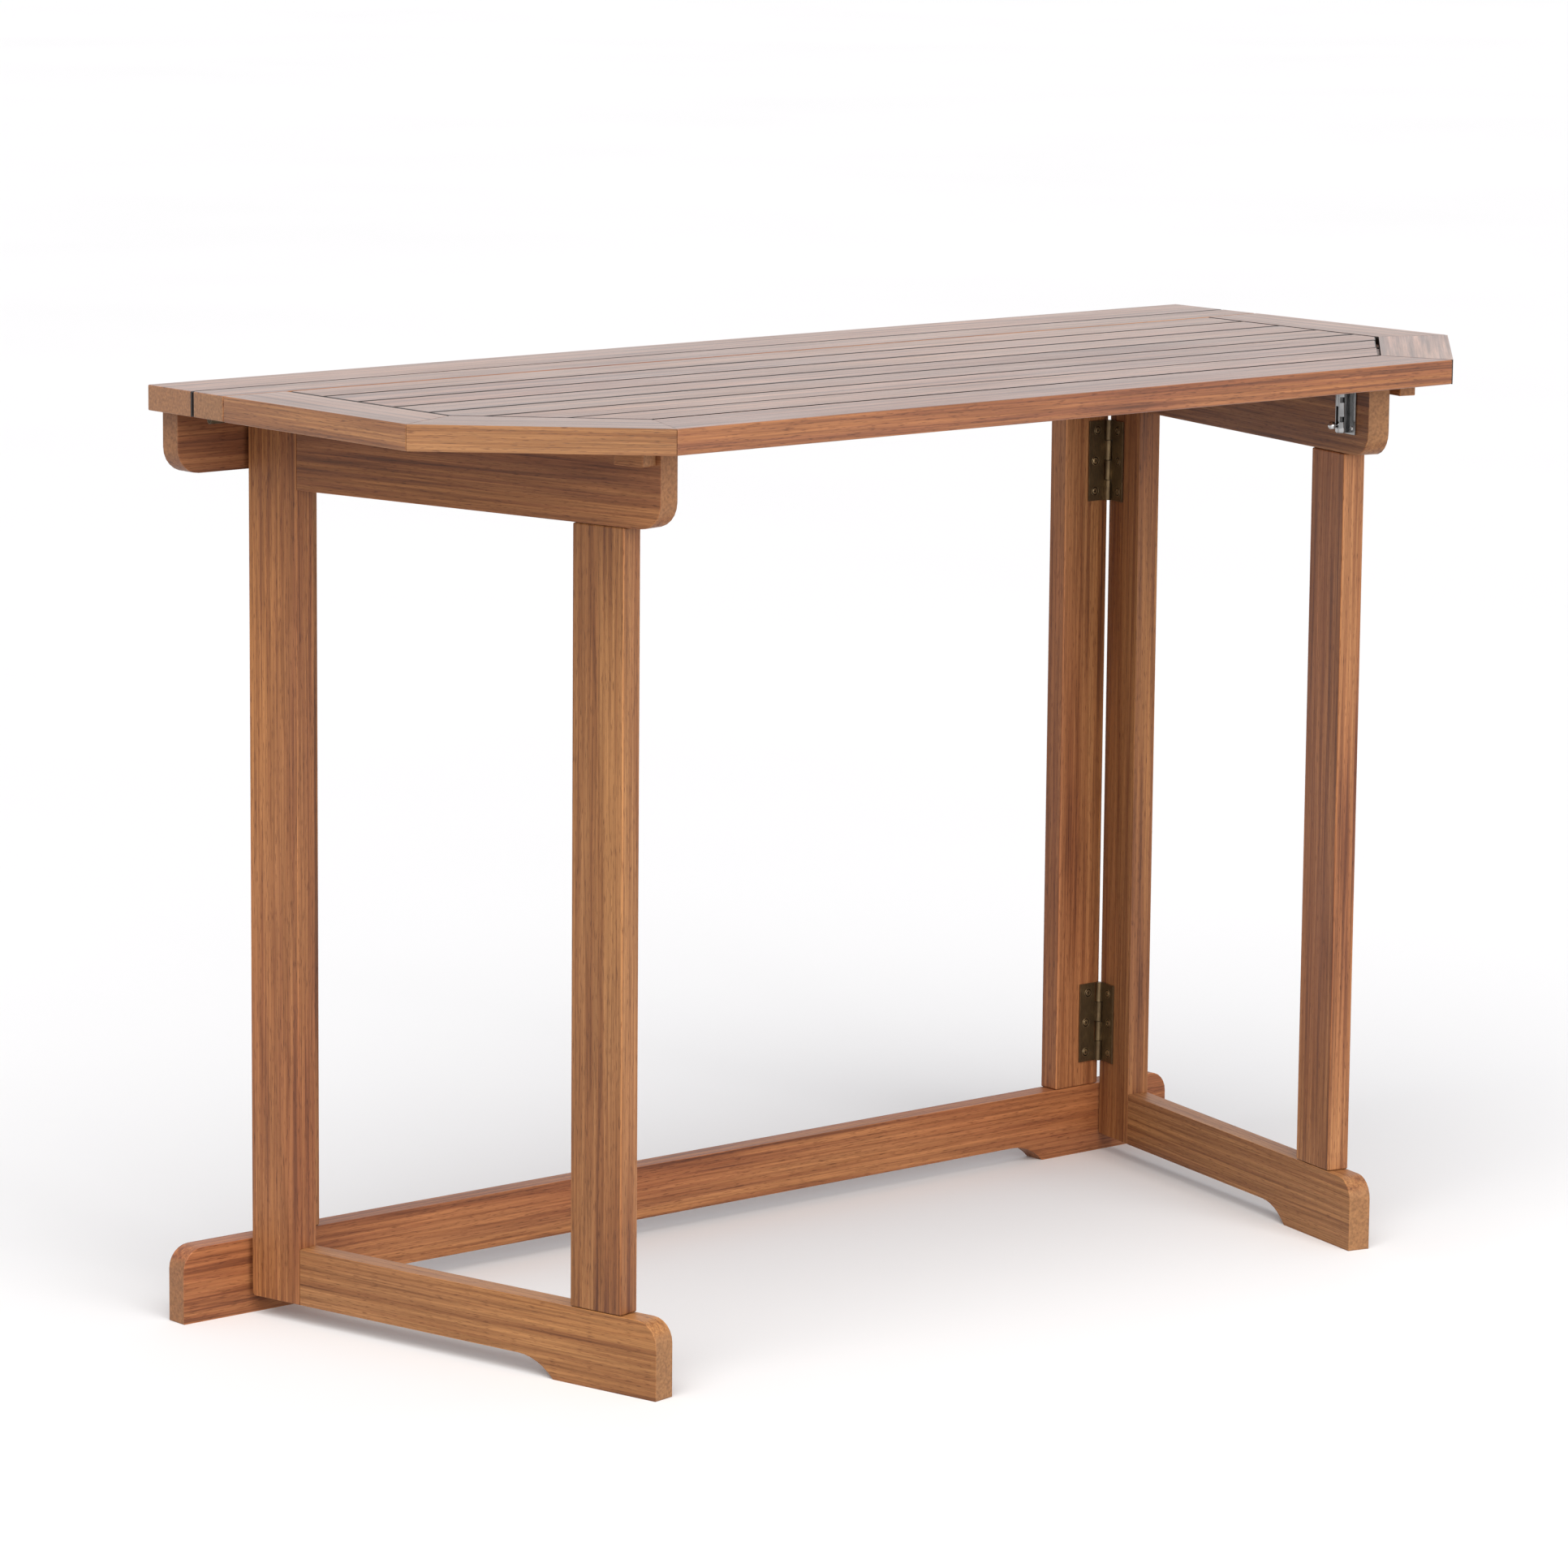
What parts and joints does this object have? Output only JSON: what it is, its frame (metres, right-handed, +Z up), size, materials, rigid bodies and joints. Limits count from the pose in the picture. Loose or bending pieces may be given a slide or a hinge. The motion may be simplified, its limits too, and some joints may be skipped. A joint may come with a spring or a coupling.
{
  "type": "gateleg table",
  "caption": "Half-octagon slatted wooden gateleg table: fixed back strip on a frame, hinged leaf held up by swinging gates that bolt to it.",
  "frame": {"origin": "on the floor under the middle of the top's bounding box", "axes": "+X along the table, +Y toward its straight back edge, +Z up"},
  "size_m": [1.1, 0.47, 0.745],
  "materials": {
    "top_wood": "oiled, satin, greyed on top",
    "frame_wood": "oiled, satin",
    "aged_brass": "dark patina",
    "bolt_chrome": "polished"
  },
  "bodies": {
    "rear_frame": {"left_lower_hinge_frame_wing": "aged_brass", "left_lower_hinge_pin": "aged_brass", "left_upper_hinge_frame_wing": "aged_brass", "left_upper_hinge_pin": "aged_brass", "rear_bottom_rail": "frame_wood", "rear_post_left": "frame_wood", "rear_post_right": "frame_wood", "rear_top_rail": "frame_wood", "right_lower_hinge_frame_wing": "aged_brass", "right_lower_hinge_pin": "aged_brass", "right_upper_hinge_frame_wing": "aged_brass", "right_upper_hinge_pin": "aged_brass", "seam_hinge_left_pin": "aged_brass", "seam_hinge_left_strip_wing": "aged_brass", "seam_hinge_middle_pin": "aged_brass", "seam_hinge_middle_strip_wing": "aged_brass", "seam_hinge_right_pin": "aged_brass", "seam_hinge_right_strip_wing": "aged_brass", "top_strip": "top_wood"},
    "left_gate": {"left_bolt_housing": "bolt_chrome", "left_gate_bottom_rail": "frame_wood", "left_gate_hinge_post": "frame_wood", "left_gate_outer_post": "frame_wood", "left_gate_top_rail": "frame_wood", "left_lower_hinge_gate_wing": "aged_brass", "left_upper_hinge_gate_wing": "aged_brass"},
    "right_gate": {"right_bolt_housing": "bolt_chrome", "right_gate_bottom_rail": "frame_wood", "right_gate_hinge_post": "frame_wood", "right_gate_outer_post": "frame_wood", "right_gate_top_rail": "frame_wood", "right_lower_hinge_gate_wing": "aged_brass", "right_upper_hinge_gate_wing": "aged_brass"},
    "left_bolt": {"left_bolt_knob": "bolt_chrome", "left_bolt_rod": "bolt_chrome"},
    "right_bolt": {"right_bolt_knob": "bolt_chrome", "right_bolt_rod": "bolt_chrome"},
    "leaf": {"gate_stop_left": "frame_wood", "gate_stop_right": "frame_wood", "leaf_back_rail": "top_wood", "leaf_batten": "frame_wood", "leaf_corner_rail_left": "top_wood", "leaf_corner_rail_right": "top_wood", "leaf_front_rail": "top_wood", "leaf_side_rail_left": "top_wood", "leaf_side_rail_right": "top_wood", "leaf_slat_1": "top_wood", "leaf_slat_2": "top_wood", "leaf_slat_3": "top_wood", "leaf_slat_4": "top_wood", "leaf_slat_5": "top_wood", "leaf_slat_6": "top_wood", "leaf_slat_7": "top_wood", "seam_hinge_left_leaf_wing": "aged_brass", "seam_hinge_middle_leaf_wing": "aged_brass", "seam_hinge_right_leaf_wing": "aged_brass"}
  },
  "joints": [
    {"name": "left_gate_swing", "type": "hinge", "parent": "rear_frame", "child": "left_gate", "pos_m": [-0.4495, 0.21175, 0.367], "axis": [0, 0, -1], "range_deg": [-76, 0]},
    {"name": "right_gate_swing", "type": "hinge", "parent": "rear_frame", "child": "right_gate", "pos_m": [0.4495, 0.21175, 0.367], "axis": [0, 0, 1], "range_deg": [-74, 0]},
    {"name": "leaf_lift", "type": "hinge", "parent": "rear_frame", "child": "leaf", "pos_m": [0, 0.17575, 0.72175], "axis": [1, 0, 0], "range_deg": [-2.5, 0]},
    {"name": "left_bolt_slide", "type": "slide", "parent": "left_gate", "child": "left_bolt", "axis": [0, 0, 1], "range_m": [0, 0.014]},
    {"name": "right_bolt_slide", "type": "slide", "parent": "right_gate", "child": "right_bolt", "axis": [0, 0, 1], "range_m": [0, 0.014]}
  ]
}
